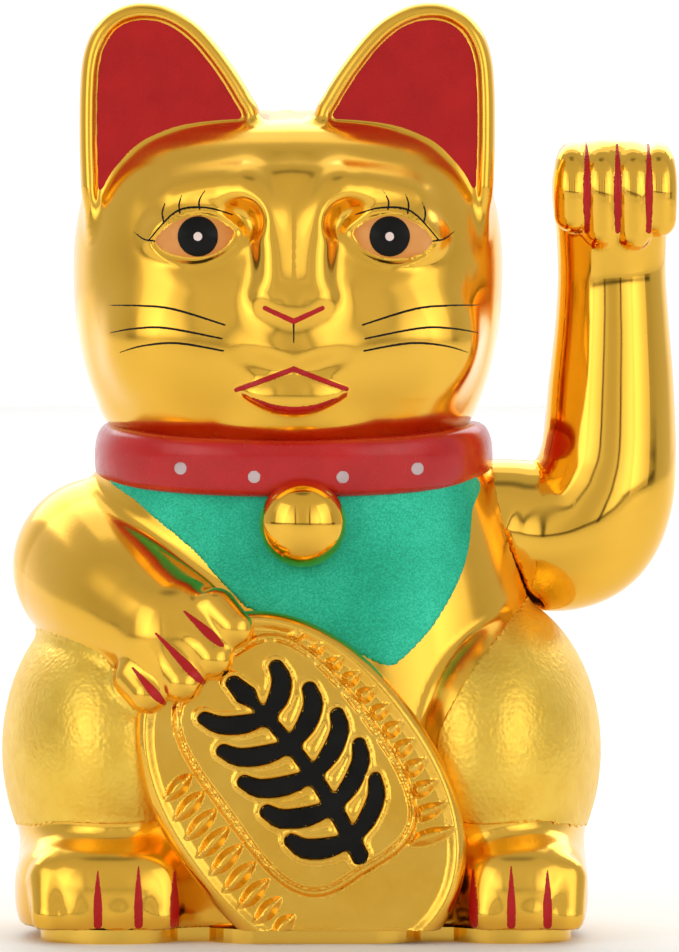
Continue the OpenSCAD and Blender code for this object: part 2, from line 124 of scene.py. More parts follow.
def limb(p, a, ra, b, rb):
    """A tapered capsule from a to b."""
    ab = [b[i] - a[i] for i in range(3)]
    length = sum(v * v for v in ab)
    t = np.clip(sum((p[i] - a[i]) * ab[i] for i in range(3)) / length, 0, 1)
    return np.sqrt(sum((p[i] - a[i] - t * ab[i]) ** 2 for i in range(3))) - (ra + (rb - ra) * t)


def catmull(points, per=8, closed=False):
    """A smooth curve through the points, with per steps between each two."""
    pts = np.array(points, float)
    n = len(pts)
    out = []
    for i in range(n if closed else n - 1):
        a, b, c, d = (pts[(i + k) % n if closed else min(max(i + k, 0), n - 1)] for k in (-1, 0, 1, 2))
        for t in np.arange(per) / per:
            out.append(0.5 * (2 * b + (c - a) * t + (2 * a - 5 * b + 4 * c - d) * t**2
                              + (3 * b - a - 3 * c + d) * t**3))
    if not closed:
        out.append(pts[-1])
    return np.array(out)


def tube(p, points, per=5):
    """A smooth limb through points (x, y, z, radius)."""
    path = catmull(points, per)
    d = limb(p, path[0], path[0][3], path[1], path[1][3])
    for a, b in zip(path[1:-1], path[2:]):
        d = np.minimum(d, limb(p, a, a[3], b, b[3]))
    return d


def outline(u, v, points, per=6):
    """Signed distance in a plane to a smooth closed outline, negative inside."""
    pts = catmull(points, per, closed=True) if per > 1 else np.array(points, float)
    best = np.full(np.shape(u), 1e9)
    inside = np.zeros(np.shape(u), bool)
    for (ax, ay), (bx, by) in zip(pts, np.roll(pts, -1, axis=0)):
        ex, ey, wx, wy = bx - ax, by - ay, u - ax, v - ay
        t = np.clip((wx * ex + wy * ey) / (ex * ex + ey * ey), 0, 1)
        best = np.minimum(best, (wx - t * ex) ** 2 + (wy - t * ey) ** 2)
        if ay != by:
            inside ^= ((ay > v) != (by > v)) & (u < ax + wy / ey * ex)
    return np.where(inside, -1, 1) * np.sqrt(best)


def line_2d(u, v, a, b, ra, rb):
    """A tapered stroke in a plane."""
    ex, ey = b[0] - a[0], b[1] - a[1]
    t = np.clip(((u - a[0]) * ex + (v - a[1]) * ey) / (ex * ex + ey * ey), 0, 1)
    return np.hypot(u - a[0] - t * ex, v - a[1] - t * ey) - (ra + (rb - ra) * t)


def tube_2d(u, v, points):
    """A smooth stroke in a plane through points (u, v, radius)."""
    path = catmull(points, 3)
    d = line_2d(u, v, path[0], path[1], path[0][2], path[1][2])
    for a, b in zip(path[1:-1], path[2:]):
        d = np.minimum(d, line_2d(u, v, a, b, a[2], b[2]))
    return d


def step_up(d, width):
    """1 well inside d, 0 outside, with an even slope width wide on its edge."""
    t = np.clip(0.5 - d / width, 0, 1)
    return t * t * (3 - 2 * t)


class Loft:
    """A closed form whose level sections are superellipses.

    Stations are (z, middle x, half width, front y, rear y, squareness)."""

    def __init__(self, stations, top=6.0, bottom=3.0):
        st = np.array(stations, float)
        z = st[:, 0]
        slope = np.gradient(st, z, axis=0)
        fine = np.linspace(z[0], z[-1], 240)
        i = np.clip(np.searchsorted(z, fine, side="right") - 1, 0, len(z) - 2)
        h = (z[i + 1] - z[i])[:, None]
        t = ((fine - z[i]) / h[:, 0])[:, None]
        self.rows = ((2 * t**3 - 3 * t**2 + 1) * st[i] + (t**3 - 2 * t**2 + t) * h * slope[i]
                     + (3 * t**2 - 2 * t**3) * st[i + 1] + (t**3 - t**2) * h * slope[i + 1])
        self.z, self.top, self.bottom = fine, top, bottom
        self.slope = np.gradient(self.rows, fine, axis=0)

    def __call__(self, p, grow=0.0):
        x, y, z = p
        cx, hw, front, rear, e = (np.interp(z, self.z, self.rows[:, c]) for c in range(1, 6))
        depth = np.where(y > 0, rear, -front) + grow
        qx = np.abs(x - cx) / (hw + grow) + 1e-6
        qy = np.abs(y) / depth + 1e-6
        f = (qx**e + qy**e) ** (1 / e)
        r = np.hypot(x - cx, y)
        d = np.where(f > 0.02, r * (1 - 1 / np.maximum(f, 0.02)), -20.0)
        wide, ahead, behind = (np.interp(z, self.z, self.slope[:, c]) for c in (2, 3, 4))
        steep = (np.abs(x - cx) * wide + np.abs(y) * np.where(y > 0, behind, -ahead)) / np.maximum(r, 1)
        d = d / np.sqrt(1 + steep**2)
        return smooth_max(smooth_max(d, z - self.z[-1], self.top), self.z[0] - z, self.bottom)


# ---------------------------------------------------------------- meshing

CORNERS = [(i, j, k) for i in (0, 1) for j in (0, 1) for k in (0, 1)]
CELL_EDGES = [(a, b) for a in CORNERS for b in CORNERS
              if sum(b) - sum(a) == 1 and all(x <= y for x, y in zip(a, b))]


def spaced(low, high, step, zones=()):
    """Places along an axis, step apart, or closer inside zones (from, to, step)."""
    places = [low]
    while places[-1] < high:
        here = places[-1]
        places.append(here + next((s for a, b, s in zones if a <= here < b), step))
    return np.array(places)


def lattice(field, axes):
    """The field on a lattice; away from the surface only every fourth point is worked out."""
    step = max(np.diff(a).max() for a in axes)
    shape = [len(a) for a in axes]
    coarse = np.stack(np.meshgrid(*(a[::4] for a in axes), indexing="ij"))
    values = field(coarse.reshape(3, -1)).reshape(coarse.shape[1:])
    for axis in range(3):
        values = np.repeat(values, 4, axis=axis)
    values = np.ascontiguousarray(values[: shape[0], : shape[1], : shape[2]])
    near = np.nonzero(np.abs(values) < 8 * step)
    values[near] = field(np.stack([axes[i][near[i]] for i in range(3)]))
    return values


def net(values):
    """Surface nets: one point in each cell that the surface crosses, and a quad across each crossed edge."""
    inside = values < 0
    n = [s - 1 for s in values.shape]
    count = sum(inside[a : a + n[0], b : b + n[1], c : c + n[2]].astype(np.int8) for a, b, c in CORNERS)
    cells = np.nonzero((count > 0) & (count < 8))
    index = np.full(count.shape, -1, np.int64)
    index[cells] = np.arange(len(cells[0]))
    total = np.zeros((3, len(cells[0])))
    number = np.zeros(len(cells[0]))
    for a, b in CELL_EDGES:
        va = values[cells[0] + a[0], cells[1] + a[1], cells[2] + a[2]]
        vb = values[cells[0] + b[0], cells[1] + b[1], cells[2] + b[2]]
        hit = (va < 0) != (vb < 0)
        t = np.where(hit, va / np.where(hit, va - vb, 1), 0)
        for i in range(3):
            total[i] += np.where(hit, a[i] + t * (b[i] - a[i]), 0)
        number += hit
    points = np.stack(cells) + total / number
    quads = []
    for axis in range(3):
        one, two = (axis + 1) % 3, (axis + 2) % 3
        first = [slice(1, -1)] * 3
        second = [slice(1, -1)] * 3
        first[axis], second[axis] = slice(0, -1), slice(1, None)
        here, there = inside[tuple(first)], inside[tuple(second)]
        at = np.nonzero(here != there)
        at_edge = [at[i] + (0 if i == axis else 1) for i in range(3)]
        ring = []
        for back_one, back_two in ((1, 1), (0, 1), (0, 0), (1, 0)):
            cell = list(at_edge)
            cell[one] = cell[one] - back_one
            cell[two] = cell[two] - back_two
            ring.append(index[tuple(cell)])
        quad = np.stack(ring, axis=1)
        flip = ~here[at]
        quad[flip] = quad[flip][:, ::-1]
        quads.append(quad)
    return points, np.concatenate(quads)


TETRA = np.array([(1, -1, -1), (-1, -1, 1), (-1, 1, -1), (1, 1, 1)], float)


def gradient(field, p, reach=0.04):
    return sum(t[:, None] * field(p + reach * t[:, None]) for t in TETRA) / (4 * reach)


def on_surface(field, p, step):
    """Moves points onto the field's zero surface, and gives its normals, evened out over part of a step."""
    for _ in range(3):
        g = gradient(field, p)
        size = np.maximum(np.sqrt((g**2).sum(axis=0)), 0.2)
        p = p - g / size * np.clip(field(p) / size, -0.5 * step, 0.5 * step)
    g = gradient(field, p, 0.4 * step)
    return p, g / np.maximum(np.sqrt((g**2).sum(axis=0)), 1e-6)


def make_object(name, points, faces, body, slot, material, normals):
    """points (n, 3) in millimetres, quads as an (m, 4) array, and a normal for each point."""
    mesh = bpy.data.meshes.new(name)
    mesh.vertices.add(len(points))
    mesh.vertices.foreach_set("co", (np.asarray(points) * MM).astype(np.float32).ravel())
    mesh.loops.add(faces.size)
    mesh.loops.foreach_set("vertex_index", faces.astype(np.int32).ravel())
    mesh.polygons.add(len(faces))
    mesh.polygons.foreach_set("loop_start", np.arange(0, faces.size, faces.shape[1], dtype=np.int32))
    mesh.update(calc_edges=True)
    mesh.validate()
    mesh.polygons.foreach_set("use_smooth", np.full(len(mesh.polygons), True))
    corners = np.empty(len(mesh.loops), np.int32)
    mesh.loops.foreach_get("vertex_index", corners)
    flat = np.empty(len(mesh.polygons) * 3, np.float32)
    mesh.polygons.foreach_get("normal", flat)
    own = normals[corners].reshape(len(mesh.polygons), faces.shape[1], 3)
    apart = (own * own[:, [1, 2, 3, 0]]).sum(axis=2).min(axis=1)
    creased = apart < math.cos(math.radians(50))
    own[creased] = flat.reshape(-1, 1, 3)[creased]
    mesh.normals_split_custom_set(own.reshape(-1, 3).tolist())
    piece = bpy.data.objects.new(name, mesh)
    bpy.context.scene.collection.objects.link(piece)
    mesh.materials.append(material)
    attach(piece, body)
    return piece


def sculpt(name, field, low, high, step, body, slot, material, zones=((), (), ())):
    """Meshes a field between two corners into one closed piece."""
    axes = [spaced(low[i] - 2 * step, high[i] + 2 * step, step, [(a, b, s * GRID) for a, b, s in zones[i]])
            for i in range(3)]
    points, quads = net(lattice(field, axes))
    points = np.stack([np.interp(points[i], np.arange(len(axes[i])), axes[i]) for i in range(3)])
    points, normals = on_surface(field, points, step)
    return make_object(name, points.T, quads, body, slot, material, normals.T)


# ---------------------------------------------------------------- head

HEAD = Loft([
    (101, HEAD_X, 25, -25, 20, 2.2),
    (105, HEAD_X, 35.2, -35, 28, 2.3),
    (109, HEAD_X, 39.0, -38.6, 30.5, 2.4),
    (115.4, HEAD_X, 42.0, -41, 33, 2.45),
    (126, HEAD_X, 44.9, -42.4, 34.5, 2.5),
    (138.8, HEAD_X, 46.3, -42.6, 35.5, 2.55),
    (151.5, HEAD_X, 45.7, -40.8, 35, 2.5),
    (158, HEAD_X, 44.3, -38.3, 33.5, 2.45),
    (165, HEAD_X, 41, -33.8, 30.5, 2.35),
    (170.5, HEAD_X, 36.5, -27.5, 26.5, 2.25),
    (174.3, HEAD_X, 29.5, -19.5, 20, 2.2),
    (176.4, HEAD_X, 22, -12, 15, 2.2),
], top=5)


def mirrored(x):
    """Distance from the face's centre line, for forms that come in pairs."""
    return np.abs(x - MID)


def pair(p):
    return [mirrored(p[0]), p[1], p[2]]


EYE_X = EYES["right"] - MID
EYE_BALL = ((EYE_X, -32.2, EYE_Z), (10.6, 8.4, 6.7))
ALMOND = [(-9.3, -0.8), (-6.2, 3.1), (-1, 5.2), (4.7, 4.5), (9.1, 0.9), (6.3, -3.0), (0.5, -5.3),
          (-5.8, -4.3)]


def almond(p):
    """Plane distance to the eye opening, for one of the pair; its outer corner is the first point."""
    return outline(EYE_X - mirrored(p[0]), p[2] - EYE_Z, ALMOND)


def eye_ball(p, grow=0.0):
    centre, radii = EYE_BALL
    return ellipsoid(pair(p), centre, [r + grow for r in radii])


LIP = [(-5, 114), (0, 112.6), (6, 113.6), (11.2, 117.0), (5, 119.6), (0, 121.2), (-5, 119.6), (-11, 117.0)]


def face_forms(p, head):
    """The head with its brow, nose, eyes, muzzle and lips."""
    q = pair(p)
    head = smooth_max(head, -ellipsoid(q, (EYE_X - 2, -46.6, EYE_Z + 1.5), (13.5, 9.3, 9)), 6)
    brow = limb(q, (24, -32.0, 156.6), 1.6, (10, -35.4, 159.2), 3.0)
    head = smooth_min(head, brow, 8)
    ridge = tube(q, [(11.5, -36.4, 158.2, 2.0), (8.4, -37.6, 157.8, 2.6), (5.6, -39.6, 153.8, 2.9),
                     (4.4, -41.6, 146.4, 2.7), (4.4, -42.8, 141, 2.8), (5.3, -43.2, 137.2, 2.9)], 12)
    head = smooth_min(head, ridge, 4)
    head = smooth_min(head, limb(p, (MID, -33.2, 160), 3.0, (MID, -41.4, 139.6), 3.1), 5)
    head = smooth_min(head, ellipsoid(p, (MID, -42.4, 136.0), (5.8, 4.2, 4.2)), 1.8)
    head = smooth_max(head, -ellipsoid(q, (11.6, -42.0, 153.2), (5.0, 6.4, 4.4), (0, -28, 0)), 2.2)
    head = smooth_min(head, ellipsoid(p, (MID, -33.4, 124.4), (17, 13, 12.6)), 9)
    head = smooth_min(head, ellipsoid(q, (23, -30, 127), (15, 12, 13)), 9)
    opening = step_up(almond(p), 1.5)
    head = smooth_min(head, eye_ball(p, 0.95 - 0.95 * opening), 2.2 - 1.4 * opening)
    lip = outline(mirrored(p[0]), p[2], LIP, 4)
    bulge = smooth_max(ellipsoid(p, (MID, -40.5, 115.8), (14, 7, 7)), lip, 1.6)
    head = smooth_max(head, -ellipsoid(q, (6.5, -48.6, 122), (7.5, 3.2, 2.4), (0, -20, 0)), 2.5)
    head = smooth_min(head, bulge, 1.4)
    return smooth_min(head, ellipsoid(p, (MID, -32.5, 111.5), (12, 8.8, 4.6)), 6)


EAR_X = -3.0
EAR = [(-40.5, 147), (-43.7, 156), (-44.4, 164), (-44.6, 173), (-44.5, 181), (-44.0, 187), (-42.7, 191.6),
       (-40.4, 195.4), (-37.2, 198.0), (-33.8, 199.3), (-30.4, 199.6), (-26.4, 199.0), (-22.2, 197.1),
       (-18.2, 194.0), (-14.4, 189.7), (-11.0, 185.0), (-8.2, 180.4), (-5.8, 175.6), (-6, 168), (-24, 148)]
EAR_RIM, EAR_DISH = 3.5, 2.6           # width of the rim, depth of the hollow inside it


def ear_outline(p):
    return outline(-np.abs(p[0] - EAR_X), p[2], EAR)


def ear_faces(p):
    """Distances in front of the ear's front face and behind its back."""
    slim = np.clip((p[2] - 160) / 38, 0, 1)
    return -(p[1] + 23.6 - 6.6 * slim), p[1] + 1.0 + 4 * slim


def ears(p):
    flat = ear_outline(p)
    front, back = ear_faces(p)
    d = np.maximum(smooth_max(flat, front, 5), smooth_max(flat, back, 9))
    dish = smooth_max(flat + EAR_RIM, -(front + EAR_DISH), 1.4)
    return smooth_max(d, -dish, 2.6)


def head_field(p):
    head = HEAD(p)
    front = p[1] < -12
    if front.any():
        q = p[:, front]
        head[front] = face_forms(q, head[front])
    return smooth_min(head, ears(p), 1.6)


# ---------------------------------------------------------------- torso, limbs and coin

TORSO = Loft([
    (FLOOR_Z, 0, 54, -45, 42, 3.0),
    (20, 0, 54.5, -45, 44, 3.0),
    (38, 0, 53.5, -43.5, 45.5, 2.8),
    (56, 0, 51, -42, 44.5, 2.6),
    (70, 0.4, 49.2, -40.5, 42, 2.5),
    (82, -0.2, 47, -38.8, 38.5, 2.4),
    (92, -0.8, 44.6, -37.4, 35, 2.4),
    (102, -1.8, 41.6, -36, 32, 2.4),
    (110, -2.8, 36, -31, 28, 2.4),
], top=3, bottom=0.2)

COIN_C = (0, -52.0, 32.4)
COIN_TILT = 36
COIN_LEAN = -7
COIN_A, COIN_B, COIN_T = 41.5, 29.3, 9.0
COIN_ROUND = 2.2                       # 2 is an ellipse, more is squarer
COIN_STEP, COIN_SUNK, COIN_LIP = 1.5, 0.9, 1.7     # heights of the middle, the sprig's groove and the lip


def coin_frame(p):
    """Across the coin, along it, and out of its face."""
    q = turned(p, COIN_C, (COIN_LEAN, 0, 0))
    c, s = math.cos(math.radians(COIN_TILT)), math.sin(math.radians(COIN_TILT))
    return q[0] * c + q[2] * s, q[0] * s - q[2] * c, -q[1]


def coin_edge(u, v):
    f = (np.abs(u / COIN_B) ** COIN_ROUND + np.abs(v / COIN_A) ** COIN_ROUND + 1e-9) ** (1 / COIN_ROUND)
    return np.hypot(u, v) * (1 - 1 / np.maximum(f, 0.05))


def plateau(u, v):
    """The raised middle of the coin: straight on its left, bowed on its right."""
    qu, qv = u - 1.4, v + 5.5
    f = (np.abs(qu / 17.4) ** 3.6 + np.abs(qv / 27.2) ** 3.6 + 1e-9) ** (1 / 3.6)
    bow = 2.4 * np.cos(np.clip(v / 26, -1.5, 1.5)) * np.clip(u / 16, 0, 1)
    return np.hypot(qu, qv) * (1 - 1 / np.maximum(f, 0.05)) - bow


def sprig(u, v):
    """A plain leaf sprig: a bowed stem with pairs of blunt leaflets and a bud at its tip."""
    bend = 1.6 + 2.6 * np.sin((v + 30) / 52 * math.pi)
    w = u - bend
    d = line_2d(w, v, (0, -21), (0, 18.5), 1.1, 1.7)
    d = smooth_min(d, line_2d(w, v, (0, -27), (0, -23.5), 1.5, 2.1), 1.5)
    for i in range(5):
        foot = 14.5 - i * 7.9
        reach = 12.6 - 0.5 * (i - 1.6) ** 2
        for side in (-1, 1):
            out = reach if side < 0 else reach - 0.8
            leaf = tube_2d(w, v, [(0, foot, 1.3), (side * out * 0.45, foot - 1.4, 2.0),
                                  (side * out * 0.85, foot - 4.2, 1.9), (side * out, foot - 7.4, 1.4)])
            d = smooth_min(d, leaf, 1.5)
    return d


def leaf_ridges(u, v):
    """Pointed leaf-shaped teeth around the plateau, long axis outwards: height from 0 to 1."""
    high = np.zeros(np.shape(u))
    for side, places in ((-1, np.arange(-16, 24, 4.6)), (1, np.arange(-27, 28, 4.6))):
        for at in places:
            reach = COIN_B * (1 - abs(at / COIN_A) ** COIN_ROUND) ** (1 / COIN_ROUND)
            inner = 16.6 if side < 0 else 20.2 - 0.012 * (at + 4) ** 2
            outer = max(reach - 3.4, inner + 4)
            middle, half_length = side * (inner + outer) / 2, (outer - inner) / 2 + 0.6
            lean = 0.35 * np.clip((at - 8) / 18, 0, 1) if side > 0 else -0.15
            q = (u - middle) / half_length
            leaf = 1.9 * (1 - q**2) - np.abs(v - at - lean * (u - middle))
            high = np.maximum(high, np.clip(leaf / 1.6, 0, 1))
    return high


def coin_relief(u, v):
    """Height of the coin's face above its ground."""
    edge = coin_edge(u, v)
    flat = plateau(u, v)
    marks = sprig(u, v)
    high = COIN_STEP * step_up(flat, 0.8)
    high += COIN_STEP * leaf_ridges(u, v) * step_up(-(flat - 0.9), 0.8)
    around = np.arctan2(v, u)
    stitched = np.clip((around + 2.2) * 3, 0, 1) * np.clip((0.4 - around) * 3, 0, 1)
    dashes = 1 - stitched * (0.5 + 0.5 * np.tanh(5 * (np.cos(around * 22) - 0.75)))
    high -= 0.55 * step_up(np.abs(flat + 1.3) - 0.3, 0.7) * dashes
    high += 0.35 * step_up(np.abs(marks - 0.7) - 0.35, 0.7) * step_up(flat + 2.4, 0.6)
    high -= COIN_SUNK * step_up(marks + 0.1, 0.6)
    high += COIN_LIP * step_up(-(edge + 3.2), 2.6)
    return high


def coin_body(p):
    u, v, w = coin_frame(p)
    edge = coin_edge(u, v)
    r = 4.2
    d = np.stack([edge + r, np.abs(w + COIN_T) - COIN_T + r])
    return np.sqrt((np.maximum(d, 0) ** 2).sum(axis=0)) + np.minimum(d.max(axis=0), 0) - r


def coin_plate(p):
    """The coin's front with its relief, deep enough to reach into the body."""
    u, v, w = coin_frame(p)
    front = (w > -4) & (coin_edge(u, v) < 1)
    relief = np.zeros(np.shape(u))
    if front.any():
        relief[front] = coin_relief(u[front], v[front]) - COIN_LIP
    return np.maximum(np.maximum(coin_body(p) - relief, -w - 10), FLOOR_Z - p[2])


THIGH_PANELS = {
    "left": [(-30.4, 25.8), (-31.2, 34), (-33.6, 48), (-40, 59), (-47.5, 64), (-68, 66), (-70, 25.4),
             (-50, 25)],
    "right": [(32.6, 26.0), (28.6, 40), (31.5, 49.6), (38.5, 60.5), (47, 70), (52, 73.6), (68, 72),
              (70, 25.8), (50, 25.2)],
}


def thigh(p, side):
    x = 39.6 * side
    return ellipsoid(p, (x, -7, 38.8), (24.8, 41.6, 34))


def foot(p, x0, x1, toes):
    """A rounded foot between two sides, with toe bulges along its front."""
    d = pillow(p, ((x0 + x1) / 2, -25.6, 10), ((x1 - x0) / 2 + 0.4, 28.4, 14.0), 2.7)
    for toe in toes:
        d = smooth_min(d, limb(p, (toe, -45.6, 13.2), 5.2, (toe, -49.4, 6.0), 4.6), 1.4)
    return d


FEET = [(-60.8, -19.5, (-52.5, -47.3, -38.6, -30.6), (-42.9, -34.3, -26.7)),
        (31.7, 60.9, (40.4, 48.4, 55.5), (36.5, 44.5, 52.2))]
PAW_TOES = [((-18, -46.2, 70.6), (-14, -49.4, 66.6)), ((-22.6, -47.2, 65), (-18.4, -51, 60.2)),
            ((-28.6, -47, 59.6), (-25, -50.8, 55.2)), ((-35, -44.8, 55.8), (-32.4, -48.2, 52.6))]


def resting_arm(p):
    arm = tube(p, [(-39.5, 10, 82, 14.0), (-43.6, -2, 78.8, 18.3), (-42.0, -10, 76.2, 18.6),
                   (-37.6, -23, 71.8, 16.9), (-31.8, -33, 67.6, 14.5), (-27.8, -38.4, 65.4, 13.2)], 14)
    arm = smooth_min(arm, ellipsoid(p, (-25.4, -41.2, 62.2), (11.5, 9.0, 9.6), (0, 0, 25)), 4)
    for a, b in PAW_TOES:
        arm = smooth_min(arm, limb(p, a, 4.7, b, 4.1), 2.4)
    return arm


def pocket(p, grow=0.0):
    """The round hole in the body's right side that the arm turns in, wider where the elbow sweeps past."""
    r = np.hypot(p[1] - PIVOT_Y, p[2] - PIVOT_Z)
    wide = 15.3 + 3.9 * np.clip((p[0] - 42.6) / 8, 0, 1)
    return np.maximum(r - (wide + grow), 38.6 - grow - p[0])


def tail(p):
    return tube(p, [(24, 40, 10, 7), (33, 37, 17, 7.6), (38, 34.5, 28, 7.2), (36, 35, 39, 6.4),
                    (30, 37.5, 47, 5)], 4)


def torso_field(p):
    d = TORSO(p)
    d = smooth_min(d, thigh(p, -1), 1.6)
    d = smooth_min(d, thigh(p, 1), 1.6)
    for x0, x1, toes, _ in FEET:
        d = smooth_min(d, foot(p, x0, x1, toes), 6)
    d = smooth_min(d, resting_arm(p), 2.4)
    d = np.minimum(d, coin_body(p) + 2.6)
    d = smooth_min(d, tail(p), 2.5)
    return np.maximum(d, FLOOR_Z - p[2])


# ---------------------------------------------------------------- raised arm

ARM_ROOT_X = 39.4                      # where the arm starts, inside the pocket
PAW_TOES_UP = [(58.2, 67.6), (64.6, 64.4), (71.4, 63.8), (76.9, 66.6)]
PAW_CLAWS = [61.4, 68.0, 74.7]


def arm_field(p):
    z = PIVOT_Z
    d = tube(p, [(30, SPLIT, z, 14.6), (44, SPLIT, z, 14.6), (50, SPLIT, z - 1.3, 15.6),
                 (55.2, SPLIT, z - 1.8, 16.6), (60.8, SPLIT, z + 0.6, 16.8), (64.6, SPLIT, z + 6.8, 15.9),
                 (66.4, SPLIT, z + 15, 14.7), (67.0, SPLIT, z + 30, 13.6), (67.2, SPLIT, z + 44, 12.3),
                 (67.1, SPLIT, z + 55, 11.7), (67.0, SPLIT - 1, z + 65, 12.0)], 20)
    palm = ellipsoid(p, (66.8, SPLIT - 1.5, z + 73.5), (13.6, 12.0, 11.6))
    block = rounded_box(p, (66.8, SPLIT - 1.5, z + 73), (13.5, 11.5, 11), 7.5)
    d = smooth_min(d, smooth_max(palm, block, 3), 3)
    for x, low in PAW_TOES_UP:
        toe = tube(p, [(x, SPLIT - 5.5, z + 80.2, 3.0), (x, SPLIT - 9.6, z + 78, 3.7),
                       (x, SPLIT - 11.8, z + 73.5, 4.0), (x, SPLIT - 11.4, z + low, 3.8)], 6)
        d = smooth_min(d, toe, 1.4)
    return np.maximum(d, ARM_ROOT_X - p[0])


# ---------------------------------------------------------------- shells

def half_box(low, high, front):
    """The part of a box in front of the parting plane, or behind it."""
    return (low, (high[0], SPLIT, high[2])) if front else ((low[0], SPLIT, low[2]), high)


def half(field, front):
    """The part of a field in front of the parting plane, or behind it."""
    def cut(p):
        plane = p[1] - SPLIT + SEAM if front else SPLIT + SEAM - p[1]
        return np.maximum(field(p), plane)
    return cut


def torso_shell(p):
    d = torso_field(p)
    d = np.maximum(d, -pocket(p))
    inner = np.maximum(d + WALL, -pocket(p, WALL))
    return np.maximum(np.maximum(d, -inner), p[2] - NECK_Z)


def head_shell(p):
    d = head_field(p)
    return np.maximum(np.maximum(d, -(d + WALL)), NECK_Z - p[2])


def arm_shell(p):
    d = arm_field(p)
    return np.maximum(d, -(d + WALL))


# ---------------------------------------------------------------- materials

def new_material(name, metallic=0.0, roughness=0.4, coat=0.0, specular=0.5):
    mat = bpy.data.materials.new(name)
    mat.use_nodes = True
    shader = mat.node_tree.nodes["Principled BSDF"]
    shader.inputs["Metallic"].default_value = metallic
    shader.inputs["Roughness"].default_value = roughness
    shader.inputs["Coat Weight"].default_value = coat
    shader.inputs["Specular IOR Level"].default_value = specular
    return mat, mat.node_tree, shader


def add(tree, kind, inputs=(), **settings):
    node = tree.nodes.new("ShaderNode" + kind)
    for key, value in settings.items():
        setattr(node, key, value)
    for key, value in dict(inputs).items():
        node.inputs[key].default_value = value
    return node


def place(tree, stretch=(1, 1, 1)):
    """The point on the object, in metres, stretched."""
    where = add(tree, "TexCoord")
    scale = add(tree, "Mapping", {"Scale": stretch})
    tree.links.new(where.outputs["Object"], scale.inputs["Vector"])
    return scale.outputs["Vector"]


def noise(tree, scale, detail=3.0, rough=0.5, stretch=(1, 1, 1)):
    node = add(tree, "TexNoise", {"Scale": scale, "Detail": detail, "Roughness": rough})
    tree.links.new(place(tree, stretch), node.inputs["Vector"])
    return node.outputs["Fac"]


def cells(tree, scale, feature="F1", output="Distance"):
    node = add(tree, "TexVoronoi", {"Scale": scale}, feature=feature)
    tree.links.new(place(tree), node.inputs["Vector"])
    return node.outputs[output]


def ramp(tree, fac, stops):
    node = add(tree, "ValToRGB")
    bands = node.color_ramp.elements
    for band, (at, colour) in zip(bands, (stops[0], stops[-1])):
        band.position, band.color = at, (*colour, 1)
    for at, colour in stops[1:-1]:
        bands.new(at).color = (*colour, 1)
    tree.links.new(fac, node.inputs["Fac"])
    return node.outputs["Color"]


def spread(tree, fac, low, high, start=0.3, end=0.7):
    node = add(tree, "MapRange", {"From Min": start, "From Max": end, "To Min": low, "To Max": high})
    tree.links.new(fac, node.inputs["Value"])
    return node.outputs["Result"]


def bump(tree, shader, height, depth, strength):
    """depth is in metres."""
    node = add(tree, "Bump", {"Strength": strength, "Distance": depth})
    tree.links.new(height, node.inputs["Height"])
    tree.links.new(node.outputs["Normal"], shader.inputs["Normal"])


def mirror_gold(name, haze_range):
    """Vacuum-metallised gold under clear lacquer: glossy, with an uneven haze and a few fine scuffs."""
    mat, tree, shader = new_material(name, metallic=1.0)
    link = tree.links.new
    link(ramp(tree, noise(tree, 26, 4), [(0.3, (0.90, 0.50, 0.055)), (0.7, (0.94, 0.54, 0.07))]),
         shader.inputs["Base Color"])
    haze = spread(tree, noise(tree, 55, 5, 0.6), *haze_range)
    scuff = add(tree, "Math", operation="MAXIMUM")
    link(haze, scuff.inputs[0])
    link(spread(tree, noise(tree, 170, 6, 0.75, (1, 1, 0.3)), 0.0, 0.24, 0.66, 0.74), scuff.inputs[1])
    link(scuff.outputs[0], shader.inputs["Roughness"])
    bump(tree, shader, noise(tree, 60, 2), 0.00025, 0.35)
    return mat


def satin_gold():
    """The thighs' finish: the same gold moulded over a fine leather grain."""
    mat, tree, shader = new_material("satin_gold", metallic=1.0)
    link = tree.links.new
    link(ramp(tree, noise(tree, 200, 3), [(0.3, (0.92, 0.58, 0.075)), (0.7, (0.97, 0.65, 0.10))]),
         shader.inputs["Base Color"])
    link(spread(tree, noise(tree, 420, 3), 0.33, 0.44), shader.inputs["Roughness"])
    grain = add(tree, "Math", operation="ADD")
    link(cells(tree, 1100, "SMOOTH_F1"), grain.inputs[0])
    link(noise(tree, 800, 3), grain.inputs[1])
    bump(tree, shader, grain.outputs[0], 0.00018, 0.6)
    return mat


def struck_gold():
    """The coin's finish: plated over a slightly rough mould, so a little softer than the rest."""
    mat, tree, shader = new_material("struck_gold", metallic=1.0)
    link = tree.links.new
    link(ramp(tree, noise(tree, 90, 4), [(0.3, (0.90, 0.50, 0.055)), (0.7, (0.95, 0.57, 0.085))]),
         shader.inputs["Base Color"])
    link(spread(tree, noise(tree, 240, 4), 0.12, 0.26), shader.inputs["Roughness"])
    bump(tree, shader, noise(tree, 520, 3), 0.00012, 0.5)
    return mat


def paint(name, dark, light, roughness, coat=0.1, specular=0.4):
    """Brushed or sprayed lacquer with uneven colour and a slight orange peel."""
    mat, tree, shader = new_material(name, coat=coat, specular=specular)
    tree.links.new(ramp(tree, noise(tree, 120, 4), [(0.3, dark), (0.7, light)]), shader.inputs["Base Color"])
    tree.links.new(spread(tree, noise(tree, 300, 3), *roughness), shader.inputs["Roughness"])
    bump(tree, shader, noise(tree, 240, 3), 0.00008, 0.6)
    return mat


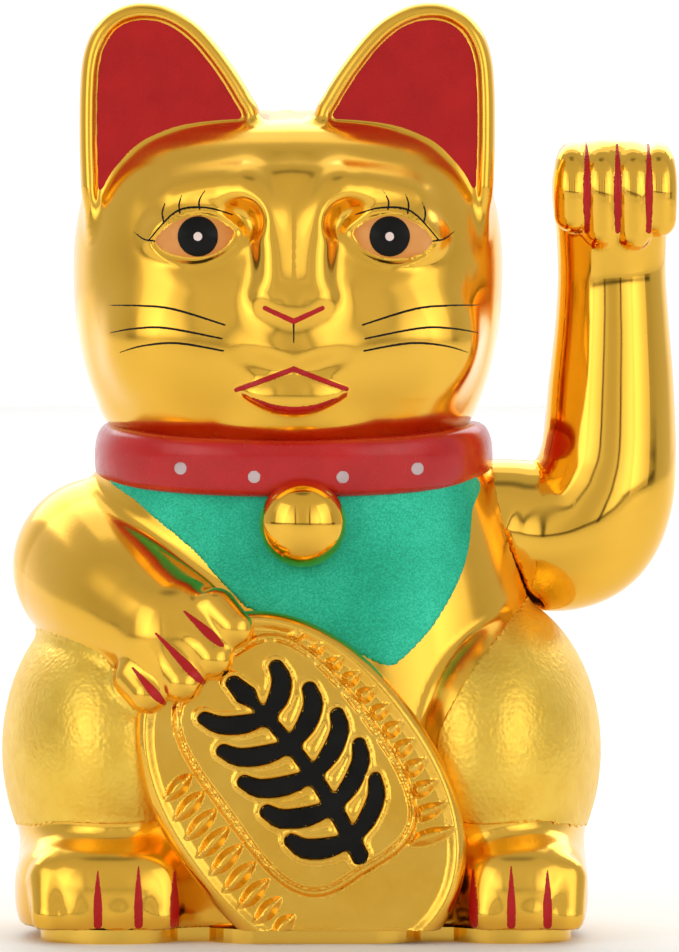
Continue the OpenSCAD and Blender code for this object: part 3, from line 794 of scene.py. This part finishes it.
def glitter_green():
    """Green lacquer with very fine metal flake."""
    mat, tree, shader = new_material("glitter_green", metallic=0.45)
    link = tree.links.new
    tone = add(tree, "SeparateColor")
    link(cells(tree, 3600, output="Color"), tone.inputs["Color"])
    both = add(tree, "Math", operation="MULTIPLY_ADD")
    link(tone.outputs["Red"], both.inputs[0])
    both.inputs[1].default_value = 0.35
    link(noise(tree, 45, 3), both.inputs[2])
    link(ramp(tree, both.outputs[0], [(0.35, (0.004, 0.34, 0.19)), (0.65, (0.012, 0.50, 0.30)),
                                      (0.95, (0.05, 0.66, 0.43))]), shader.inputs["Base Color"])
    link(spread(tree, tone.outputs["Green"], 0.34, 0.5, 0, 1), shader.inputs["Roughness"])
    bump(tree, shader, tone.outputs["Blue"], 0.00003, 0.5)
    return mat


def metal(name, dark, light, roughness, stretch, scale):
    mat, tree, shader = new_material(name, metallic=1.0)
    fine = noise(tree, scale, 5, 0.6, stretch)
    tree.links.new(ramp(tree, fine, [(0.3, dark), (0.7, light)]), shader.inputs["Base Color"])
    tree.links.new(spread(tree, noise(tree, scale * 2, 3), *roughness), shader.inputs["Roughness"])
    bump(tree, shader, fine, 0.00004, 0.5)
    return mat


def plastic(name, dark, light, roughness=(0.35, 0.5), scale=140):
    mat, tree, shader = new_material(name)
    tree.links.new(ramp(tree, noise(tree, scale, 4), [(0.3, dark), (0.7, light)]),
                   shader.inputs["Base Color"])
    tree.links.new(spread(tree, noise(tree, scale * 3, 3), *roughness), shader.inputs["Roughness"])
    bump(tree, shader, noise(tree, scale * 6, 2), 0.00005, 0.5)
    return mat


GOLD = mirror_gold("mirror_gold", (0.06, 0.12))
BODY_GOLD = mirror_gold("soft_mirror_gold", (0.14, 0.22))
SATIN = satin_gold()
COIN_GOLD = struck_gold()
RED = paint("red_paint", (0.42, 0.004, 0.005), (0.51, 0.007, 0.008), (0.24, 0.34), 0.0, specular=0.3)
COLLAR_RED = paint("collar_red_paint", (0.48, 0.006, 0.006), (0.58, 0.010, 0.010), (0.2, 0.3), 0.1,
                   specular=0.4)
GREEN = glitter_green()
BLACK = paint("black_paint", (0.003, 0.003, 0.003), (0.008, 0.008, 0.007), (0.25, 0.4), 0.0, specular=0.15)
SCLERA = paint("eye_orange_paint", (0.74, 0.27, 0.05), (0.84, 0.38, 0.11), (0.3, 0.4), 0.0, specular=0.3)
PINK = paint("eye_light_paint", (0.86, 0.66, 0.62), (0.90, 0.74, 0.70), (0.2, 0.3))
DOT = paint("dot_paint", (0.52, 0.40, 0.42), (0.66, 0.54, 0.56), (0.35, 0.5))

EVEN = (1, 1, 1)
# dark and light colour, roughness range, stretch and scale of the grain
METALS = {
    "gold_moulding": ((0.84, 0.52, 0.075), (0.92, 0.59, 0.10), (0.12, 0.22), EVEN, 90),
    "zinc_steel": ((0.58, 0.60, 0.63), (0.74, 0.75, 0.78), (0.25, 0.42), EVEN, 260),
    "bright_steel": ((0.60, 0.61, 0.63), (0.76, 0.77, 0.79), (0.14, 0.28), (1, 20, 20), 90),
    "dark_steel": ((0.12, 0.12, 0.12), (0.24, 0.23, 0.22), (0.35, 0.55), EVEN, 160),
    "nickel_magnet": ((0.55, 0.54, 0.50), (0.70, 0.69, 0.65), (0.12, 0.28), EVEN, 180),
    "copper_wire": ((0.60, 0.22, 0.09), (0.78, 0.34, 0.15), (0.2, 0.35), (1, 1, 12), 260),
    "nickel_strip": ((0.58, 0.57, 0.53), (0.74, 0.73, 0.69), (0.2, 0.38), EVEN, 240),
}
# dark and light colour, roughness range and scale of the mottling
PLASTICS = {
    "white_plastic": ((0.68, 0.67, 0.63), (0.77, 0.76, 0.73)),
    "ivory_plastic": ((0.66, 0.60, 0.46), (0.75, 0.69, 0.55)),
    "green_board": ((0.012, 0.15, 0.06), (0.03, 0.25, 0.11), (0.3, 0.45), 220),
    "black_epoxy": ((0.012, 0.012, 0.012), (0.035, 0.034, 0.033), (0.4, 0.6), 300),
    "capacitor_sleeve": ((0.012, 0.03, 0.13), (0.025, 0.06, 0.22), (0.25, 0.4), 240),
    "resistor_body": ((0.52, 0.36, 0.18), (0.64, 0.47, 0.26), (0.35, 0.5), 400),
    "cell_jacket": ((0.02, 0.02, 0.022), (0.05, 0.05, 0.052), (0.2, 0.35), 160),
    "red_insulation": ((0.46, 0.015, 0.012), (0.60, 0.03, 0.025), (0.35, 0.5), 200),
    "black_insulation": ((0.012, 0.012, 0.012), (0.03, 0.03, 0.03), (0.35, 0.5), 200),
    "black_plastic": ((0.014, 0.014, 0.014), (0.035, 0.035, 0.035), (0.4, 0.55), 200),
}
SLOT_FINISH = {"gold_plating": GOLD,
               **{name: metal(name, *look) for name, look in METALS.items()},
               **{name: plastic(name, *look) for name, look in PLASTICS.items()}}


def finish_cad_nodes():
    for part in frame["record"]["subparts"]:
        mesh = frame["nodes"][part["node"]].data
        mesh.materials.clear()
        mesh.materials.append(SLOT_FINISH[part["material_slot"]])


# ---------------------------------------------------------------- pieces

# Finer meshing in (from, to, step) along x, y and z.
TORSO_ZONES = (((-48, -8, 0.68), (38, 52, 0.62)), (), ((48, 103, 0.68),))
FACE_ZONES = (((-50, -40, 0.62), (-34, -10, 0.52), (-10, 7, 0.62), (7, 31, 0.52), (35, 44, 0.62)),
              ((-50, -34, 0.62),),
              ((109, 124, 0.58), (130, 143, 0.62), (143, 163, 0.52), (166, 200, 0.62)))


def body_pieces():
    """The plated skins, split where the moulded shells are."""
    for part, shell, low, high, step, coarser, zones in (
            ("torso", torso_shell, (-64, -57, FLOOR_Z), (64, 48, NECK_Z), 0.97 * GRID, 1.05, TORSO_ZONES),
            ("head", head_shell, (-49, -50, NECK_Z), (44, 38, 200), 0.84 * GRID, 1.14, FACE_ZONES)):
        for where, front in (("front", True), ("rear", False)):
            piece = sculpt(f"{part}_{where}", half(shell, front), *half_box(low, high, front),
                           step if front else step * coarser, "figure", "gold_plating", BODY_GOLD,
                           zones if front else ((), (), ()))
            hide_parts("front_shell" if front else "rear_shell")


def arm_pieces():
    for name, front in (("arm_front", True), ("arm_rear", False)):
        a, b = half_box((ARM_ROOT_X, -15, 66), (82, 19, 172), front)
        piece = sculpt(name, half(arm_shell, front), a, b, 0.8 * GRID, "arm", "gold_plating", GOLD)
        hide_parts("arm_front_half" if front else "arm_rear_half")


def mark(name, surface, shape, low, high, material, step=0.35, proud=0.16, deep=0.5, body="figure"):
    """Paint inside a flat shape, on the front of a surface."""
    def field(p):
        d = surface(p)
        return np.maximum(np.maximum(d - proud, -(d + deep)), shape(p))
    return sculpt(name, field, low, high, step * GRID, body, None, material)


def stroke(points, widths, straight=False):
    """A flat tapered stroke through points (x, z), with a width at each."""
    path = np.array([(x, z, w / 2) for (x, z), w in zip(points, widths)])
    path = path if straight else catmull(path, 5)

    def shape(p):
        d = np.full(p[0].shape, 1e9)
        for a, b in zip(path[:-1], path[1:]):
            d = np.minimum(d, line_2d(p[0], p[2], a, b, a[2], b[2]))
        return d
    xs, zs = [q[0] for q in points], [q[1] for q in points]
    return shape, (min(xs) - 1.5, min(zs) - 1.5), (max(xs) + 1.5, max(zs) + 1.5)


def stroke_mark(name, points, widths, y0, y1, material, surface=None, step=0.26, straight=False):
    shape, low, high = stroke(points, widths, straight)
    return mark(name, surface or head_field, shape, (low[0], y0, low[1]), (high[0], y1, high[1]), material,
                step, 0.12)


def wire_ring(name, path, r, slot, material):
    """A round wire along a closed ring of points."""
    sides = 12
    along = np.roll(path, -1, axis=0) - np.roll(path, 1, axis=0)
    across = np.cross(along, (0.0, 1.0, 0.0))
    across /= np.linalg.norm(across, axis=1)[:, None]
    upright = np.cross(across, along)
    upright /= np.linalg.norm(upright, axis=1)[:, None]
    angle = np.arange(sides)[None, :, None] / sides * 2 * math.pi
    normals = np.cos(angle) * across[:, None] + np.sin(angle) * upright[:, None]
    points = path[:, None] + r * normals
    i, j = (v.ravel() for v in np.meshgrid(np.arange(len(path)), np.arange(sides), indexing="ij"))
    i2, j2 = (i + 1) % len(path), (j + 1) % sides
    quads = np.stack([i * sides + j, i * sides + j2, i2 * sides + j2, i2 * sides + j], axis=1)
    points, normals = points.reshape(-1, 3), normals.reshape(-1, 3)
    a, b, c = (points[quads[0][k]] for k in (0, 1, 2))
    if np.dot(np.cross(b - a, c - b), normals[quads[0][0]]) < 0:
        quads = quads[:, ::-1]
    return make_object(name, points, np.ascontiguousarray(quads), "figure", slot, material, normals)


def eye_rims():
    """A fine moulded rim round each eye."""
    for side, sign in (("left", -1), ("right", 1)):
        u, v = catmull(ALMOND, 10, closed=True).T
        depth = np.sqrt(np.maximum(1 - (u / EYE_BALL[1][0]) ** 2 - (v / EYE_BALL[1][2]) ** 2, 0.03))
        out = EYE_BALL[0][1] - (EYE_BALL[1][1] + 0.2) * depth
        ring = np.stack([MID + sign * (EYE_X - u), out, EYE_Z + v], axis=1)
        wire_ring(f"eye_rim_{side}", ring, 0.48, "gold_plating", GOLD)


LASH, WHISKER = [0.4, 0.35, 0.15], [0.2, 0.4, 0.5, 0.4]      # widths from the skin end outwards


def face_paint():
    for side, sign in (("left", -1), ("right", 1)):
        ex = EYES[side]
        box_lo, box_hi = (ex - 11, -44, EYE_Z - 7), (ex + 11, -30, EYE_Z + 7)
        mark(f"eye_white_{side}", eye_ball, lambda p: almond(p) - 0.15, box_lo, box_hi, SCLERA, 0.4, 0.05,
             0.6)
        iris = (ex + 0.45 * -sign, EYE_Z + 0.3)
        mark(f"iris_{side}", eye_ball, lambda p, c=iris: np.hypot(p[0] - c[0], p[2] - c[1]) - 4.3,
             box_lo, box_hi, BLACK, 0.35, 0.3, 0.5)
        mark(f"eye_light_{side}", eye_ball, lambda p, c=iris: np.hypot(p[0] - c[0], p[2] - c[1]) - 0.95,
             (ex - 3, -44, EYE_Z - 3), (ex + 3, -38, EYE_Z + 3), PINK, 0.22, 0.45, 0.2)

        def mirror(points):
            return [(MID + sign * x, z) for x, z in points]

        strokes = {
            # lid: painted shade, a thin black line laid along the crease above each eye where its dark
            # reflection falls
            "lid": ([(13.0, 154.2), (18.6, 155.7), (25, 154.9), (31.0, 148.6)], [0.25, 0.4, 0.4, 0.3]),
            "lash_1": ([(27.6, 152.6), (28.0, 154.6), (27.4, 156.8)], LASH),
            "lash_2": ([(24.2, 154.6), (24.4, 156.4), (23.8, 158.6)], LASH),
            "lash_3": ([(20.0, 155.4), (20.1, 157.2), (18.9, 159.4)], LASH),
            "lash_4": ([(29.6, 148.6), (32, 149.0), (34.2, 150.6)], LASH),
            "whisker_1": ([(39.8, 134.8), (33, 134.9), (25.5, 134.2), (14.6, 130.9)], WHISKER),
            "whisker_2": ([(39.2, 129.0), (34, 130.0), (27, 130.2), (15.2, 128.0)], WHISKER),
            "whisker_3": ([(37.0, 124.9), (32, 126.4), (24.6, 127.0), (14.9, 125.4)], WHISKER),
        }
        for name, (points, widths) in strokes.items():
            stroke_mark(f"{name}_{side}", mirror(points), widths, -50, -22, BLACK, step=0.22)
    stroke_mark("nose_line", [(MID - 6.1, 134.5), (MID, 131.7), (MID + 6.1, 134.5)],
                [1.0, 1.2, 1.0], -54, -38, RED, straight=True)
    stroke_mark("philtrum_line", [(MID, 131.2), (MID, 127.2)], [0.4, 0.3], -54, -36, BLACK, step=0.22)
    stroke_mark("mouth_line", [(MID - 12.2, 117.1), (MID, 121.6), (MID + 11.2, 117.3)],
                [1.0, 1.2, 1.0], -54, -34, RED, straight=True)
    low_lip = [(MID - 8.8, 115.4), (MID - 4.5, 113.6), (MID, 113.0), (MID + 4.6, 113.5), (MID + 9.0, 115.3)]
    stroke_mark("lip_line", low_lip, [0.4, 1.1, 1.3, 1.1, 0.4], -54, -34, RED)


def ear_paint():
    def floor_slab(p):
        front, _ = ear_faces(p)
        return front + EAR_DISH

    for side, (x0, x1) in (("left", (-47, -8)), ("right", (4, 43))):
        mark(f"ear_red_{side}", floor_slab, lambda p: ear_outline(p) + EAR_RIM - 0.5,
             (x0, -23, 154), (x1, -13, 198), RED, 0.6, 0.25, 1.6)


BIB = [(-39.4, 99), (-34.5, 92.2), (-23.4, 83), (-15.5, 74.5), (-10.6, 70.2), (-1.1, 67.9), (8.1, 63.4),
       (17.9, 58.4), (23.2, 61.2), (29.5, 68.6), (34.9, 79.3), (36.5, 90), (35.5, 99), (0, 103)]


def bib():
    mark("bib", torso_field, lambda p: outline(p[0], p[2], BIB), (-42, -48, 56), (39, -16, NECK_Z), GREEN,
         0.7, 0.25, 1.6)


def thigh_panels():
    for side, points in THIGH_PANELS.items():
        x0, x1 = (-65, -28) if side == "left" else (27, 65)
        s = -1 if side == "left" else 1

        def surface(p, s=s):
            body = torso_field(p)
            return np.maximum(body, thigh(p, s) - 1.2)
        for where, front in (("front", True), ("rear", False)):
            y0, y1 = (-50, SPLIT) if front else (SPLIT, 30)
            plane = (lambda p: p[1] - SPLIT + SEAM) if front else (lambda p: SPLIT + SEAM - p[1])

            def shape(p, cut=plane, points=points):
                panel = np.maximum(outline(p[0], p[2], points), cut(p))
                return np.maximum(panel, -pocket(p, ARM_GAP))
            mark(f"thigh_{side}_{where}", surface, shape, (x0, y0, 21), (x1, y1, 73), SATIN, 0.9, 0.2, 1.7)


def claws():
    for i, (_, _, _, spots) in enumerate(FEET):
        for j, x in enumerate(spots):
            tip = 15.6 + (j == 1)
            stroke_mark(f"foot_claw_{i + 1}_{j + 1}", [(x, 4.2), (x, 9), (x, tip)], [1.8, 1.8, 0.3],
                        -57, -34, RED, torso_field)
    for i, (a, b) in enumerate((((-24.6, 70.4), (-16.6, 63.4)), ((-30.6, 65.8), (-20.2, 55.0)),
                                ((-35.6, 58.4), (-28.8, 50.8)))):
        middle = ((a[0] + 2 * b[0]) / 3, (a[1] + 2 * b[1]) / 3)
        stroke_mark(f"paw_claw_{i + 1}", [a, middle, b], [0.5, 2.0, 0.9], -58, -34, RED, torso_field)
    for i, x in enumerate(PAW_CLAWS):
        shape, low, high = stroke([(x, 169.0), (x, 160), (x, 150.4)], [0.5, 1.6, 1.1])
        mark(f"raised_claw_{i + 1}", arm_field, shape, (low[0], -20, low[1]), (high[0], -2, high[1]), RED,
             0.27, body="arm")


COLLAR_X = -1.7
COLLAR = Loft([
    (96.6, COLLAR_X, 42.2, -39.4, 36.0, 2.4),
    (98.6, COLLAR_X, 42.8, -40.6, 36.6, 2.4),
    (102.6, COLLAR_X, 43.0, -41.5, 37.0, 2.4),
    (106.6, COLLAR_X, 42.3, -41.8, 36.4, 2.4),
    (109.0, COLLAR_X, 41.0, -41.2, 35.2, 2.4),
], top=1.6, bottom=1.6)
DOT_X = [-25.6, -9.9, 8.9, 24.8]


def collar_field(p):
    """A padded band, lower in front."""
    sag = 2.7 * np.clip(-p[1] / 40, 0, 1) ** 2
    q = np.stack([p[0], p[1], p[2] + sag])
    d = COLLAR(q)
    return np.maximum(np.maximum(d, -(d + 2.6)), -pocket(p, ARM_GAP))


def collar():
    for name, front in (("collar_front", True), ("collar_rear", False)):
        a, b = half_box((-48, -43.5, 93), (43, 38, 112), front)
        sculpt(name, half(collar_field, front), a, b, 0.7 * GRID, "figure", None, COLLAR_RED)
    for i, x in enumerate(DOT_X):
        z = 100.3 - 0.003 * (26**2 - x**2)
        mark(f"collar_dot_{i + 1}", collar_field, lambda p, x=x, z=z: np.hypot(p[0] - x, p[2] - z) - 1.35,
             (x - 2, -45, z - 2), (x + 2, -30, z + 2), DOT, 0.28, 0.14)


def bell():
    lo, hi = (np.array(c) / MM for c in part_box("bell"))
    mid = (lo + hi) / 2
    centre = (mid[0], hi[1] - 8.2, mid[2] - 0.9)

    def field(p):
        ball = ellipsoid(p, centre, (9.3, 8.2, 9.3))
        lip = ellipsoid(p, (centre[0], centre[1] + 0.6, centre[2]), (9.3, 1.1, 9.3))
        shell = np.maximum(np.maximum(ball, -(ball + 1.3)), p[1] - centre[1] - 0.3)
        return smooth_min(shell, np.maximum(lip, -(ball + 2.6)), 0.4)
    low = (centre[0] - 10, centre[1] - 9, centre[2] - 10)
    high = (centre[0] + 10, centre[1] + 2, centre[2] + 10)
    piece = sculpt("bell_dome", field, low, high, 0.4 * GRID, "figure", "gold_plating", GOLD)
    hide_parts("bell")


def coin():
    """The coin with black lacquer in its sunk sprig."""
    sculpt("coin_plate", coin_plate, (-40, -57, FLOOR_Z), (40, -34, 71), 0.41 * GRID, "figure",
           "gold_plating", COIN_GOLD)

    def field(p):
        u, v, w = coin_frame(p)
        marks = sprig(u, v)
        ground = COIN_STEP - COIN_SUNK - COIN_LIP
        return np.maximum(np.maximum(np.abs(w - ground) - 0.28, marks + 0.12), plateau(u, v) + 1.2)
    sculpt("coin_sprig", field, (-34, -58, 3), (34, -42, 66), 0.42 * GRID, "figure", None, BLACK)


# ---------------------------------------------------------------- stage, light and camera

def stage():
    floor = bpy.data.meshes.new("floor")
    reach = 4.0
    corners = [(x * reach, y * reach, 0) for x, y in ((-1, -1), (1, -1), (1, 1), (-1, 1))]
    floor.from_pydata(corners, [], [(0, 1, 2, 3)])
    ground = bpy.data.objects.new("floor", floor)
    bpy.context.scene.collection.objects.link(ground)
    mat, tree, shader = new_material("pale_floor", roughness=0.55)
    tree.links.new(ramp(tree, noise(tree, 3), [(0.3, (0.92, 0.92, 0.92)), (0.7, (0.96, 0.96, 0.96))]),
                   shader.inputs["Base Color"])
    floor.materials.append(mat)
    return ground


def area(name, at, aim, size, power, colour=(1, 1, 1)):
    light = bpy.data.lights.new(name, "AREA")
    light.shape, light.size, light.size_y = "RECTANGLE", *size
    light.energy, light.color = power, colour
    lamp = bpy.data.objects.new(name, light)
    lamp.location = at
    lamp.rotation_euler = (Vector(aim) - Vector(at)).to_track_quat("-Z", "Y").to_euler()
    bpy.context.scene.collection.objects.link(lamp)


def world():
    """A pale studio: a dim middle with a thin dark strip on each side, broad bright panels beyond them,
    and a greyer ceiling and back."""
    sky = bpy.data.worlds.new("studio")
    bpy.context.scene.world = sky
    sky.use_nodes = True
    tree = sky.node_tree
    link = tree.links.new
    where = add(tree, "TexCoord")
    split = add(tree, "SeparateXYZ")
    link(where.outputs["Generated"], split.inputs["Vector"])
    across = add(tree, "Math", operation="ABSOLUTE")
    link(split.outputs["X"], across.inputs[0])
    sides = ramp(tree, across.outputs[0], [
        (0.0, (0.35, 0.34, 0.31)), (0.12, (0.37, 0.36, 0.33)), (0.20, (0.45, 0.44, 0.41)),
        (0.255, (0.47, 0.46, 0.43)), (0.268, (0.02, 0.02, 0.02)), (0.298, (0.02, 0.02, 0.02)),
        (0.32, (0.60, 0.59, 0.57)), (0.58, (1.0, 0.99, 0.96)), (0.78, (0.70, 0.69, 0.66)),
        (0.93, (0.28, 0.27, 0.25))])
    overhead = spread(tree, split.outputs["Z"], 0.0, 1.0, 0.30, 0.75)
    ceiling = ramp(tree, split.outputs["Z"], [(0.75, (0.37, 0.36, 0.34)), (0.955, (0.34, 0.33, 0.31)),
                                              (0.985, (0.12, 0.12, 0.12)), (1.0, (0.12, 0.12, 0.12))])
    above = add(tree, "Mix", data_type="RGBA")
    link(overhead, above.inputs["Factor"])
    link(sides, above.inputs[6])
    link(ceiling, above.inputs[7])
    low = ramp(tree, split.outputs["Z"], [(0.0, (0.5, 0.48, 0.44)), (0.012, (0.12, 0.11, 0.10)),
                                          (0.035, (0.12, 0.11, 0.10)), (0.05, (1, 1, 1))])
    skirting = add(tree, "Mix", data_type="RGBA", blend_type="MULTIPLY")
    skirting.inputs["Factor"].default_value = 1.0
    link(above.outputs[2], skirting.inputs[6])
    link(low, skirting.inputs[7])
    front = spread(tree, split.outputs["Y"], 0.0, 1.0, -0.12, 0.02)
    mix = add(tree, "Mix", data_type="RGBA")
    link(front, mix.inputs["Factor"])
    link(skirting.outputs[2], mix.inputs[6])
    behind = ramp(tree, split.outputs["Y"], [(0.0, (0.30, 0.30, 0.29)), (0.55, (0.36, 0.36, 0.35)),
                                             (0.80, (0.65, 0.65, 0.65)), (1.0, (0.65, 0.65, 0.65))])
    link(behind, mix.inputs[7])
    background = tree.nodes["Background"]
    link(mix.outputs[2], background.inputs["Color"])
    background.inputs["Strength"].default_value = 1.77


def camera():
    """Long lens, nearly level, looking along +Y."""
    lift, distance, high = math.radians(2), 2.2, 0.2036
    aim = Vector((0.0082, -0.025, 0.0982))
    data = bpy.data.cameras.new("camera")
    data.sensor_width = 36
    data.lens = 18 / (high / 2 / distance)
    eye = bpy.data.objects.new("camera", data)
    eye.location = aim + distance * Vector((0, -math.cos(lift), math.sin(lift)))
    eye.rotation_euler = (math.pi / 2 - lift, 0, 0)
    data.clip_start, data.clip_end = 0.05, 20
    bpy.context.scene.collection.objects.link(eye)
    bpy.context.scene.camera = eye


finish_cad_nodes()
body_pieces()
arm_pieces()
collar()
bell()
eye_rims()
face_paint()
ear_paint()
bib()
thigh_panels()
claws()
coin()
stage()
world()
area("left_box", (-1.3, -0.9, 0.75), (0, 0, 0.1), (0.9, 1.3), 2.2, (1, 0.99, 0.96))
area("right_box", (1.35, -0.8, 0.7), (0, 0, 0.1), (0.9, 1.3), 2.0, (1, 0.99, 0.96))
area("top_box", (0, 0.9, 1.6), (0, 0, 0.1), (1.6, 0.8), 2.2)
area("floor_box", (0, 2.4, 1.7), (0, 1.9, 0), (4.5, 2.2), 50)
camera()
bpy.context.scene.view_settings.view_transform = "Standard"
